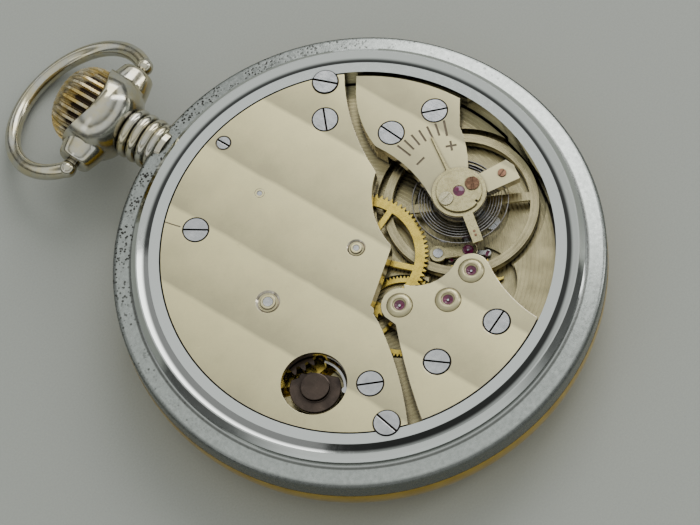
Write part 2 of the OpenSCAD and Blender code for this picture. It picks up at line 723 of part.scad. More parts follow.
// Balance cock: foot at the rim, arm and round head over the balance, arm for the stud
module balance_cock() {
    head_round = regulator_r + 0.05;
    foot_r = bridge_r - 0.35;
    color("wheat") {
        difference() {
            translate([0, 0, top_z]) linear_extrude(bridge_t) intersection() {
                circle(r = foot_r);
                union() {
                    polygon(concat(
                        [[16.5, 11], [14.5, 9.75]], curve([14.5, 9.75], [10.55, 4.8], -0.45, 6),
                        curve([10.5, 4.5], [8.1, -4.1], 0.75, 8), [balance_at],
                        [[13, -5.1]], curve([13.15, -4.9], [16.8, -1.5], -0.25, 4),
                        [[18.6, -0.35], [19.4, 0.15], [21, 0.6], [21, 11]]
                    ));
                    translate(balance_at) circle(r = head_round);
                    polygon([[13.1, -6], [16, -7.55], [15.9, -8.6], [15, -9.9], [12, -8]]);
                }
            }
            drum(balance_at, rim_clear_r + 0.2, top_z - cut, cock_z);
            drum(balance_at, jewel_r, cock_z - cut, bridge_z + cut);
            drum(stud_at, stud_r + slack, cock_z - cut, bridge_z + cut);
            for (p = cap_screw_at) drum(p, 0.25 + slack, bridge_z - 0.3, bridge_z + cut);
            for (i = [5:6]) screw_hole(bridge_screw_list[i][0]);
            // Seven marks of the regulator's scale, then a minus and a plus
            for (i = [-3:3]) at(balance_at, bridge_z - 0.08, scale_line + 6.3 * i)
                translate([abs(i) == 3 ? 6.6 : 6.85, -0.11, 0]) cube([abs(i) == 3 ? 1.8 : 1.45, 0.22, 1]);
            at(balance_at, bridge_z - 0.08, scale_line + 17) translate([5.3, -0.55, 0]) cube([0.2, 1.1, 1]);
            at(balance_at, bridge_z - 0.08, scale_line - 21) translate([5.3, -0.55, 0]) {
                cube([0.2, 1.1, 1]);
                translate([-0.45, 0.45, 0]) cube([1.1, 0.2, 1]);
            }
        }
        difference() {
            drum(balance_at, boss_r, bridge_z, bridge_z + regulator_t + 0.02);
            drum(balance_at, jewel_r, bridge_z - cut, bridge_z + cut);
            for (p = cap_screw_at) drum(p, 0.25 + slack, bridge_z - cut, bridge_z + cut);
        }
    }
}

cap_screw_at = [for (a = [156, -27]) balance_at + polar(1.55, a)];

// Small cock over the pallet arbor, on one foot inside the balance rim
module pallet_cock() {
    t = 0.3;
    line = heading(pallet_at, foot_screw_at);
    span = norm(foot_screw_at - pallet_at);
    color("silver") difference() {
        union() {
            at(pallet_at, pallet_cock_z, line) linear_extrude(t) {
                circle(r = 0.95);
                translate([0, -0.6]) square([span, 1.2]);
                translate([span, 0]) circle(r = 0.9);
            }
            drum(foot_screw_at, 0.55, balance_floor, pallet_cock_z);
        }
        drum(pallet_at, jewel_r, pallet_cock_z - cut, top_z);
        drum(foot_screw_at, 0.3 + slack, balance_floor - cut, top_z);
    }
}

module bridge_screws() {
    color("silver") {
        for (s = bridge_screw_list) at(s[0], bridge_z + 0.03) screw(head_r, head_t, screw_r, bridge_t + 1.2, s[1]);
        at(foot_screw_at, pallet_cock_z + 0.42) screw(0.5, 0.12, 0.3, 1.6, 55);
        at(plate_screw_at, balance_floor - 0.05) screw(0.8, 0.24, 0.3, 1, 75);
        // Screw that holds the crown wheel up to the bridge
        at(crown_wheel_at) arbor([
            [1.55, ratchet_z - 0.25, ratchet_z - 0.05], [0.33, ratchet_z - 0.05, bridge_z - 0.55],
            [0.25, bridge_z - 0.55, bridge_z - 0.06]
        ]);
    }
}

module setting_lever_screw() {
    color("silver") at(lever_at, bridge_z + 0.02) screw(0.72, 0.45, 0.3, bridge_z - key_z + 0.02, 90);
}

// Polished rings raised round the three train jewels
module jewel_settings() {
    color("ivory") for (p = [third_at, fourth_at, escape_at]) at(p) rotate_extrude() polygon(concat(
        [[jewel_r, bridge_z - 0.5], [setting_r, bridge_z - 0.5]],
        curve([setting_r, bridge_z + 0.01], [jewel_r + 0.2, bridge_z + 0.22], -0.08, 8),
        curve([jewel_r + 0.15, bridge_z + 0.22], [jewel_r, bridge_z + 0.06], 0.03, 4)
    ));
}

module bridge_jewels() {
    color("purple") {
        for (p = [third_at, fourth_at, escape_at]) at(p) hole_jewel(jewel_r, 0.12 + slack, bridge_z - 0.42, 0.4);
        at(balance_at) hole_jewel(jewel_r, 0.08 + slack, bridge_z - 0.5, 0.4);
        at(pallet_at) hole_jewel(jewel_r, 0.1 + slack, pallet_cock_z, 0.34);
    }
}

module plate_jewels() {
    color("purple") for (p = [third_at, fourth_at, escape_at, pallet_at, balance_at])
        at(p) hole_jewel(jewel_r, 0.12 + slack, jewel_z, 0.4);
}

// ---- Barrel and winding ----

teeth_t = 0.6;
drum_wall = 0.45;
core_r = 2.1;

module barrel_drum() {
    phase = mesh_phase(origin, heading(origin, barrel_at), center_leaves, barrel_at, barrel_teeth);
    color("khaki") at(barrel_at) difference() {
        union() {
            translate([0, 0, drum_z]) rotate(phase) linear_extrude(teeth_t) polygon(wheel_outline(barrel_teeth, barrel_m));
            translate([0, 0, drum_z]) cylinder(r = drum_r, h = drum_top - drum_z);
        }
        translate([0, 0, drum_z + teeth_t]) cylinder(r = drum_r - drum_wall, h = drum_top);
        translate([0, 0, drum_top - 0.3]) cylinder(r = drum_r - drum_wall / 2, h = 1);
        translate([0, 0, drum_z - cut]) cylinder(r = 1 + slack, h = 3);
    }
}

module barrel_cover() {
    color("khaki") at(barrel_at, drum_top - 0.3) difference() {
        cylinder(r = drum_r - drum_wall / 2, h = 0.3);
        translate([0, 0, -cut]) cylinder(r = 1 + slack, h = 3);
    }
}

module mainspring() {
    pitch = 0.42;
    outer_r = drum_r - drum_wall - 0.2;
    color("lightsteelblue") at(barrel_at, drum_z + teeth_t + 0.1)
        spiral(outer_r, floor((outer_r - core_r - 0.1) / pitch), pitch, 0.16, drum_top - drum_z - teeth_t - 0.55);
}

module barrel_arbor() {
    core_z = drum_z + teeth_t + 0.05;
    color("dimgray") at(barrel_at) {
        arbor([
            [0.9, plate_z + 0.35, drum_z], [1, drum_z, core_z], [core_r - 0.15, core_z, drum_top - 0.35],
            [1, drum_top - 0.35, ratchet_z]
        ]);
        translate([-0.62, -0.62, ratchet_z]) cube([1.24, 1.24, ratchet_t]);
        arbor([[0.5, ratchet_z + ratchet_t, bridge_z - 0.03]]);
    }
}

ratchet_phase = heading(barrel_at, crown_wheel_at);

module ratchet_wheel() {
    color("silver") at(barrel_at, ratchet_z) difference() {
        rotate(ratchet_phase) linear_extrude(ratchet_t) polygon(wheel_outline(ratchet_teeth, ratchet_m));
        translate([-0.62, -0.62, -cut]) cube([1.24, 1.24, 3]);
    }
}

module crown_wheel() {
    phase = mesh_phase(barrel_at, ratchet_phase, ratchet_teeth, crown_wheel_at, crown_wheel_teeth);
    color("silver") at(crown_wheel_at, ratchet_z + 0.02) difference() {
        rotate(phase) linear_extrude(ratchet_t - 0.04) polygon(wheel_outline(crown_wheel_teeth, ratchet_m));
        translate([0, 0, -cut]) cylinder(r = 1.2 + slack, h = 3);
    }
}

// Round click with a boss, hollowed beside the ratchet and left with one beak
module click() {
    click_r = 2.58;
    z = ratchet_z - 0.02;
    reach = norm(barrel_at - click_at) - ratchet_tip_r - click_gap;
    color("dimgray") difference() {
        union() {
            difference() {
                drum(click_at, click_r, z, z + click_t);
                drum(barrel_at, ratchet_tip_r + 0.35, z - cut, z + 2);
                at(click_at, z - cut, 20) translate([1.6, -3, 0]) cube([3, 6, 3]);
            }
            at(click_at, z, click_line + 20) linear_extrude(click_t)
                polygon([[0.8, -0.9], [reach + 0.08, -0.35], [reach + 0.1, 0.1], [0.8, 1.1]]);
            drum(click_at, 1.45, z + click_t, z + click_t + 0.45);
        }
        drum(click_at, 0.45 + slack, z - cut, z + click_t + 0.06);
    }
}

module click_spring() {
    t = 0.22;
    color("silver") at(window_at, top_z) {
        rotate_extrude(angle = 78, start = -62) translate([window_r - 0.45, 0.35]) square([t, 1.1]);
        at(polar(window_r - 0.34, -62)) cylinder(r = 0.32, h = 1.45);
    }
}

module winding_pinion() {
    m = winding_r / (winding_teeth / 2 + leaf_add);
    color("silver") on_stem(winding_y) difference() {
        linear_extrude(winding_len) polygon(leaf_outline(winding_teeth, m));
        translate([0, 0, -cut]) cylinder(r = 0.5 + slack, h = winding_len + 2 * cut);
        translate([0, 0, -cut]) linear_extrude(cut + 0.35) polygon(dogs(0.96));
    }
}

// Eight-pointed boss on the clutch and its socket in the winding pinion
function dogs(r) = [for (i = [0:15]) polar(i % 2 == 0 ? r : r - 0.2, 22.5 * i)];

module sliding_clutch() {
    lip = 0.35;
    gear_len = 0.8;
    color("silver") on_stem() difference() {
        union() {
            translate([0, 0, clutch_y]) linear_extrude(gear_len) polygon(gear(10, 0.19, 0.75, 1, [0.6, 0.6, 0.35]));
            arbor([
                [0.75, clutch_y, clutch_y + gear_len], [clutch_r, clutch_y + gear_len, clutch_groove_y - lip],
                [clutch_groove_r, clutch_groove_y - lip, clutch_groove_y + lip],
                [clutch_r, clutch_groove_y + lip, clutch_end]
            ]);
            translate([0, 0, clutch_end]) linear_extrude(winding_y - clutch_end + 0.28) polygon(dogs(0.91));
        }
        translate([-square_w / 2 - 0.04, -square_w / 2 - 0.04, clutch_y - cut])
            cube([square_w + 0.08, square_w + 0.08, 2 * clutch_y]);
    }
}

// Lever whose pin rides in the stem's groove
module setting_lever() {
    color("silver") {
        translate([0, 0, key_z]) linear_extrude(key_t) difference() {
            union() {
                translate(lever_at) circle(r = 1);
                translate(lever_pin) circle(r = 0.42);
                polygon([lever_at + [0, -0.95], lever_at + [0, 0.9], lever_pin + [0, 0.42], lever_pin + [0, -0.42]]);
            }
            translate(lever_at) circle(r = 0.3 + slack);
        }
        drum(lever_pin, finger_r, key_z + key_t, stem_z + 0.25);
    }
}

// Yoke whose finger rides in the clutch's groove
module yoke() {
    color("silver") {
        translate([0, 0, key_z]) linear_extrude(key_t) difference() {
            union() {
                translate(yoke_at) circle(r = 1);
                translate(yoke_finger) circle(r = 0.4);
                polygon([yoke_at + [0, -0.8], yoke_at + [0, 0.8], yoke_finger + [0, 0.4], yoke_finger + [0, -0.4]]);
                translate(yoke_at + [-0.35, 0.5]) rotate(8) square([0.7, 2.6]);
            }
            translate(yoke_at) circle(r = 0.4 + slack);
        }
        drum(yoke_finger, finger_r, key_z + key_t, stem_z - 0.1);
    }
}

// ---- Going train ----

center_phase = heading(origin, third_at);
third_phase = heading(third_at, fourth_at);
fourth_phase = heading(fourth_at, escape_at);

module center_wheel() {
    arms = 5;
    arm_w = 0.62;
    color("gold") at(origin, center_z) difference() {
        linear_extrude(center_t) {
            difference() {
                rotate(center_phase) polygon(wheel_outline(center_teeth, center_m));
                circle(r = center_tip_r - 1.35);
            }
            circle(r = 1.5);
            for (i = [0:arms - 1]) rotate(360 * i / arms) translate([0, -arm_w / 2]) square([center_tip_r - 1, arm_w]);
        }
        translate([0, 0, -cut]) cylinder(r = 0.8, h = 3);
    }
}

module center_arbor() {
    leaf_z = barrel_floor + 0.1;
    color("silver") {
        arbor([
            [0.38, hand_z[1], web_z - 0.05], [0.7, web_z - 0.05, leaf_z],
            [0.8, leaf_z, center_z + center_t + 0.08], [0.3, center_z + center_t + 0.08, bridge_z - 0.04]
        ]);
        translate([0, 0, leaf_z]) rotate(heading(origin, barrel_at)) linear_extrude(teeth_t + 0.25)
            polygon(leaf_outline(center_leaves, barrel_m));
    }
}

module third_wheel() {
    color("gold") at(third_at, third_z, third_phase)
        linear_extrude(wheel_t) crossed_wheel(third_teeth, third_m, 0.45, 0.7, arbor_r, 5, 0.35);
}

module third_arbor() {
    color("silver") at(third_at) {
        train_arbor(bridge_z - 0.42, bridge_z - 0.06);
        pinion_on(third_leaves, center_m, center_z - 0.12, center_t + 0.24,
            mesh_phase(origin, center_phase, center_teeth, third_at, third_leaves));
    }
}

module fourth_wheel() {
    color("gold") at(fourth_at, fourth_z, fourth_phase)
        linear_extrude(wheel_t) crossed_wheel(fourth_teeth, fourth_m, 0.4, 0.65, arbor_r, 5, 0.3);
}

module fourth_arbor() {
    color("silver") at(fourth_at) {
        train_arbor(bridge_z - 0.42, bridge_z - 0.06);
        arbor([[0.12, hand_z[3], jewel_z]]);
        pinion_on(fourth_leaves, third_m, third_z - 0.12, wheel_t + 0.24,
            mesh_phase(third_at, third_phase, third_teeth, fourth_at, fourth_leaves));
    }
}

// Club-tooth escape wheel
module escape_wheel() {
    root = escape_r - 0.75;
    step = 360 / escape_teeth;
    tooth = [[root, 0], [escape_r - 0.14, 3.2], [escape_r, 7.4], [escape_r - 0.28, 6.6], [root + 0.05, 8.5]];
    color("gold") at(escape_at, escape_z) linear_extrude(wheel_t) difference() {
        union() {
            difference() {
                polygon([for (i = [0:escape_teeth - 1]) for (t = tooth) polar(t[0], step * i + t[1])]);
                circle(r = root - 0.3);
            }
            circle(r = 0.65);
            for (i = [0:3]) rotate(90 * i) translate([0, -0.14]) square([root - 0.1, 0.28]);
        }
        circle(r = arbor_r);
    }
}

module escape_arbor() {
    color("silver") at(escape_at) {
        train_arbor(bridge_z - 0.42, bridge_z - 0.06);
        pinion_on(escape_leaves, fourth_m, fourth_z - 0.1, wheel_t + 0.2,
            mesh_phase(fourth_at, fourth_phase, fourth_teeth, escape_at, escape_leaves));
    }
}

// An arbor whose pivots run in the main plate's jewel and in a jewel at z0 to z1
module train_arbor(z0, z1) {
    arbor([[0.12, jewel_z, jewel_z + 0.45], [arbor_r, jewel_z + 0.45, z0 - 0.03], [0.12, z0 - 0.03, z1]]);
}

module pinion_on(n, m, z, t, phase) {
    translate([0, 0, z]) rotate(phase) linear_extrude(t) polygon(leaf_outline(n, m));
}

// ---- Escapement and balance ----

// Angle of each stone's line from the escape wheel's centre
stone_lines = [for (s = [-1, 1]) escape_line + 30 * s];

module pallet_fork() {
    notch = 0.5;
    line = heading(pallet_at, balance_at);
    color("silver") {
        at(pallet_at, fork_z) linear_extrude(fork_t) difference() {
            union() {
                circle(r = 0.55);
                rotate(line) polygon([
                    [0, -0.3], [fork_len - 1, -0.18], [fork_len - 0.6, -0.5], [fork_len, -0.62], [fork_len, -0.25],
                    [fork_len - notch, -0.25], [fork_len - notch, 0.25], [fork_len, 0.25], [fork_len, 0.62],
                    [fork_len - 0.6, 0.5], [fork_len - 1, 0.18], [0, 0.3]
                ]);
                for (a = stone_lines) pallet_arm(stone_foot(a) - pallet_at);
            }
            for (a = stone_lines) translate(escape_at - pallet_at) rotate(a) stone_outline();
        }
        at(pallet_at) arbor([
            [0.1, jewel_z, jewel_z + 0.42], [0.2, jewel_z + 0.42, pallet_cock_z - 0.04], [0.1, pallet_cock_z - 0.04, pallet_cock_z + 0.3]
        ]);
    }
}

function stone_foot(a) = escape_at + polar(escape_r + 0.62, a);

module pallet_arm(tip) {
    side = [-tip[1], tip[0]] / norm(tip) * 0.22;
    polygon([side * 1.2, tip + side, tip - side, -side * 1.2]);
    translate(tip) circle(r = 0.34);
}

module stone_outline() {
    translate([escape_r + escape_gap, -0.16]) square([0.62, 0.32]);
}

module pallet_stones() {
    color("purple") for (a = stone_lines) at(escape_at, fork_z + 0.02, a) linear_extrude(fork_t - 0.04) stone_outline();
}

module balance_wheel() {
    arm_w = 0.95;
    color("khaki") at(balance_at) difference() {
        union() {
            translate([0, 0, rim_top - rim_h]) difference() {
                cylinder(r = rim_r, h = rim_h);
                translate([0, 0, -cut]) cylinder(r = rim_r - rim_w, h = 4);
            }
            translate([0, 0, rim_top - arm_t]) rotate(balance_arm_line) translate([-rim_r + rim_w / 2, -arm_w / 2, 0])
                cube([2 * rim_r - rim_w, arm_w, arm_t]);
            translate([0, 0, rim_top - arm_t]) cylinder(r = 1.15, h = arm_t);
        }
        translate([0, 0, -cut]) cylinder(r = 0.45, h = 20);
    }
}

module balance_staff() {
    color("silver") at(balance_at) arbor([
        [0.09, jewel_z, jewel_z + 0.45], [0.35, jewel_z + 0.45, rim_top - arm_t], [0.45, rim_top - arm_t, rim_top],
        [0.7, rim_top, rim_top + 0.2], [0.35, rim_top + 0.2, coil_z - 0.05], [0.75, coil_z - 0.05, coil_z + coil_h],
        [0.35, coil_z + coil_h, bridge_z - 0.55], [0.08, bridge_z - 0.55, bridge_z - 0.12]
    ]);
}

roller_z = pallet_cock_z - 0.08;
impulse_line = heading(balance_at, pallet_at);

module roller_table() {
    color("silver") at(balance_at, roller_z) difference() {
        cylinder(r = roller_r, h = 0.3);
        translate([0, 0, -cut]) cylinder(r = 0.35, h = 3);
        translate([0, 0, -cut]) rotate(impulse_line) translate([orbit_r, 0, 0]) cylinder(r = impulse_r, h = 3);
    }
}

module impulse_jewel() {
    color("purple") at(balance_at, fork_z, impulse_line) translate([orbit_r, 0, 0])
        cylinder(r = impulse_r, h = roller_z + 0.3 - fork_z);
}

module hairspring() {
    inner_r = 0.85;
    step_r = 2 * (curb_gap + curb_r);      // the outer coil stands off to leave room for the curb pins
    next_r = coil_r - step_r;
    color("slategray") at(balance_at, coil_z, 144) mirror([0, 1, 0]) {
        spiral(coil_r, 0.5, 0, strip_t, coil_h);
        translate([step_r / 2, 0, 0]) rotate_extrude(angle = 180)
            translate([coil_r - step_r / 2 - strip_t / 2, 0]) square([strip_t, coil_h]);
        spiral(next_r, coil_turns, (next_r - inner_r) / coil_turns, strip_t, coil_h);
    }
}

// Stud block with its screw, in the arm of the cock
module hairspring_stud() {
    color("saddlebrown") at(stud_at) difference() {
        arbor([[stud_r, coil_z - 0.05, bridge_z + 0.01], [stud_r + 0.08, bridge_z + 0.01, bridge_z + 0.12]]);
        translate([-1, -0.05, bridge_z + 0.04]) cube([2, 0.1, 1]);
    }
}

// Ring round the cock's boss, with the curb arm and the index
module regulator() {
    curb_w = 1.05;
    color("silver") at(balance_at, bridge_z + 0.01) linear_extrude(regulator_t - 0.02) difference() {
        union() {
            circle(r = regulator_r);
            rotate(curb_line) translate([2, -curb_w / 2]) square([3.9, curb_w]);
            rotate(index_line) polygon([[2, -0.45], [3, -0.13], [6.9, -0.05], [6.9, 0.05], [3, 0.13], [2, 0.45]]);
        }
        circle(r = boss_r + slack);
        for (d = curb_pin_r) rotate(curb_line) translate([d, 0]) circle(r = curb_r);
    }
}

curb_r = 0.12;
curb_gap = 0.22;
curb_pin_r = [coil_r - curb_gap, coil_r + curb_gap];

module curb_pins() {
    color("saddlebrown") for (d = curb_pin_r) at(balance_at + polar(d, curb_line)) arbor([
        [curb_r, coil_z - 0.05, bridge_z + regulator_t + 0.04]
    ]);
}

module endstone_cap() {
    z = bridge_z + regulator_t + 0.02;
    color("silver") difference() {
        drum(balance_at, cap_r, z, z + 0.22);
        drum(balance_at, 0.6, z - cut, z + 1);
        for (p = cap_screw_at) drum(p, 0.25 + slack, z - cut, z + cut);
        at(balance_at, z - cut, -91) translate([cap_r - 0.3, -0.12, 0]) cube([1, 0.24, 3]);
    }
}

module cap_jewel() {
    z = bridge_z + regulator_t + 0.02;
    color("purple") at(balance_at) rotate_extrude() polygon(concat(
        [[0, z], [0.6, z], [0.6, z + 0.14]], curve([0.6, z + 0.14], [0, z + 0.27], 0.03, 5)
    ));
}

module cap_screws() {
    z = bridge_z + regulator_t + 0.24;
    color("saddlebrown") for (i = [0:1]) at(cap_screw_at[i], z + 0.12) difference() {
        screw(0.74, 0.12, 0.25, 0.6, i == 0 ? -10 : 40);
        translate([balance_at[0] - cap_screw_at[i][0], balance_at[1] - cap_screw_at[i][1], -1]) cylinder(r = 0.85, h = 3);
    }
}

// ---- Dial side ----

// Heights of the hands: crystal side of the minute, cannon, hour and seconds hands
hand_z = [
    crystal_t + 0.65 * (hand_space - 1.1) + 0.3, crystal_t + 0.65 * (hand_space - 1.1) + 0.35,
    dial_z - 0.55, dial_z - 0.25
];

module cannon_pinion() {
    color("silver") difference() {
        union() {
            arbor([[cannon_r, hand_z[0] - 0.1, motion_z - 0.1]]);
            translate([0, 0, motion_z - 0.1]) rotate(heading(origin, minute_at)) linear_extrude(0.35)
                polygon(leaf_outline(cannon_leaves, minute_m));
        }
        drum(origin, 0.38 + slack, 0, motion_z + cut);
    }
}

minute_phase = mesh_phase(origin, heading(origin, minute_at), cannon_leaves, minute_at, minute_teeth);

module minute_wheel() {
    pinion_phase = heading(minute_at, origin);
    color("khaki") at(minute_at) difference() {
        union() {
            translate([0, 0, motion_z]) rotate(minute_phase) linear_extrude(0.2)
                polygon(wheel_outline(minute_teeth, minute_m));
            translate([0, 0, hour_z - 0.02]) rotate(pinion_phase) linear_extrude(motion_z - hour_z + 0.02)
                polygon(leaf_outline(minute_leaves, hour_m));
        }
        translate([0, 0, plate_z - cut]) cylinder(r = 0.35 + slack, h = 4);
    }
}

module hour_wheel() {
    phase = mesh_phase(minute_at, heading(minute_at, origin), minute_leaves, origin, hour_teeth);
    color("khaki") difference() {
        union() {
            translate([0, 0, hour_z]) rotate(phase) linear_extrude(0.2) polygon(wheel_outline(hour_teeth, hour_m));
            drum(origin, hour_pipe_r, hand_z[2] - 0.05, hour_z);
        }
        drum(origin, cannon_r + slack, 0, plate_z + cut);
    }
}

module setting_wheel() {
    phase = mesh_phase(minute_at, minute_phase, minute_teeth, setting_at, setting_teeth);
    color("khaki") at(setting_at, motion_z) difference() {
        rotate(phase) linear_extrude(0.2) polygon(wheel_outline(setting_teeth, minute_m));
        translate([0, 0, -cut]) cylinder(r = 0.4 + slack, h = 3);
    }
}

module dial() {
    color("ivory") {
        difference() {
            drum(origin, plate_r, dial_z, dial_z + dial_t);
            drum(origin, hour_pipe_r + 0.12, dial_z - cut, dial_z + dial_t + cut);
            drum(fourth_at, 0.3, dial_z - cut, dial_z + dial_t + cut);
            drum(fourth_at, 4.6, dial_z - cut, dial_z + 0.12);
        }
        for (p = dial_feet) drum(p, 0.4, dial_z + dial_t, plate_z + 1.2);
    }
}

// A leaf-shaped hand with a round hub, a ring and a counterpoise
module hand(length, width, hub_r, bore_r, t) {
    color("midnightblue") linear_extrude(t) difference() {
        union() {
            circle(r = hub_r);
            polygon(concat([[0.22, 0]], curve([0.22, length * 0.3], [0.02, length], 0.05, 2),
                [[-0.02, length]], curve([-0.02, length], [-0.22, length * 0.3], 0.05, 2), [[-0.22, 0]]));
            translate([0, length * 0.62]) circle(r = width);
        }
        circle(r = bore_r);
        translate([0, length * 0.62]) circle(r = width * 0.62);
    }
}

module hour_hand() {
    translate([0, 0, hand_z[2]]) rotate(-48) mirror([1, 0, 0]) hand(9.6, 1, 1.5, hour_pipe_r, 0.18);
}

module minute_hand() {
    translate([0, 0, hand_z[0]]) rotate(60) hand(14.8, 0.9, 1.25, cannon_r, 0.18);
}

module seconds_hand() {
    color("midnightblue") at(fourth_at, hand_z[3], 25) linear_extrude(0.12) difference() {
        union() {
            circle(r = 0.45);
            polygon([[-0.12, -1.3], [0.12, -1.3], [0.05, 3.8], [-0.05, 3.8]]);
        }
        circle(r = 0.12);
    }
}

case_middle();
bezel();
crystal();
pendant();
bow();
crown();
stem();
case_screws();
main_plate();
barrel_bridge();
train_bridge();
balance_cock();
pallet_cock();
bridge_screws();
setting_lever_screw();
jewel_settings();
bridge_jewels();
plate_jewels();
barrel_drum();
barrel_cover();
mainspring();
barrel_arbor();
ratchet_wheel();
crown_wheel();
click();
click_spring();
winding_pinion();
sliding_clutch();
setting_lever();
yoke();
setting_wheel();
center_wheel();
center_arbor();
third_wheel();
third_arbor();
fourth_wheel();
fourth_arbor();
escape_wheel();
escape_arbor();
pallet_fork();
pallet_stones();
balance_wheel();
balance_staff();
roller_table();
impulse_jewel();
hairspring();
hairspring_stud();
regulator();
curb_pins();
endstone_cap();
cap_jewel();
cap_screws();
cannon_pinion();
minute_wheel();
hour_wheel();
dial();
hour_hand();
minute_hand();
seconds_hand();
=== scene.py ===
import json
import math

import bmesh
import bpy
from mathutils import Matrix, Vector


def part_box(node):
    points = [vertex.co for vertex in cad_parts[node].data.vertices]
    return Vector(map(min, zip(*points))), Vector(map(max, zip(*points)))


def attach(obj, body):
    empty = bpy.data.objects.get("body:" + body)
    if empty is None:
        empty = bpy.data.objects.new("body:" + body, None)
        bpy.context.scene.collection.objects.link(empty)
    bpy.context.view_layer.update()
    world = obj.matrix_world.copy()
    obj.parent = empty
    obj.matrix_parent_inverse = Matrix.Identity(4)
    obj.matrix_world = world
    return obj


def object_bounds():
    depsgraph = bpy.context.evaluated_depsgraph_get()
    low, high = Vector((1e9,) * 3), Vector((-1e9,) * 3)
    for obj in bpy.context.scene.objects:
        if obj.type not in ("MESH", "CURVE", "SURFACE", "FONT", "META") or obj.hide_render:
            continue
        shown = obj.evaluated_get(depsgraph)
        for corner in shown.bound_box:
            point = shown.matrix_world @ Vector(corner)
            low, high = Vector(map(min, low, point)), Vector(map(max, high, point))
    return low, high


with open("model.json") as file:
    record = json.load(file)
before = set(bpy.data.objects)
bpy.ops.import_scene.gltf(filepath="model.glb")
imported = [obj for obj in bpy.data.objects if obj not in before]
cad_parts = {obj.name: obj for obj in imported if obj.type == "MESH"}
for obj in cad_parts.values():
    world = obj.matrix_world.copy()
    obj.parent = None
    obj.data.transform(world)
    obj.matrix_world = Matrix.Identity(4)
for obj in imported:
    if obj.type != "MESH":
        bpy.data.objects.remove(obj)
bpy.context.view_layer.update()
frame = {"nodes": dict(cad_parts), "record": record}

NODES = frame["nodes"]
MM = 0.001

# Screw heads on the bridges, then the two on the case's ledge
HEADS = [(-6.75, 15.1), (10.4, 10.8), (-11.5, -9.35), (-6.15, -13.7), (0.5, -16.4), (12.6, 4.1), (17, 1.7),
         (14.0, 13.2), (-14.15, -13.05)]
HEAD_R = 1.3
LEVER_SCREW = (2.8, 18.3)
BALANCE_AT = (10.45, -5.55)
STEM_Z = 6.8

# ---- Node graphs ----

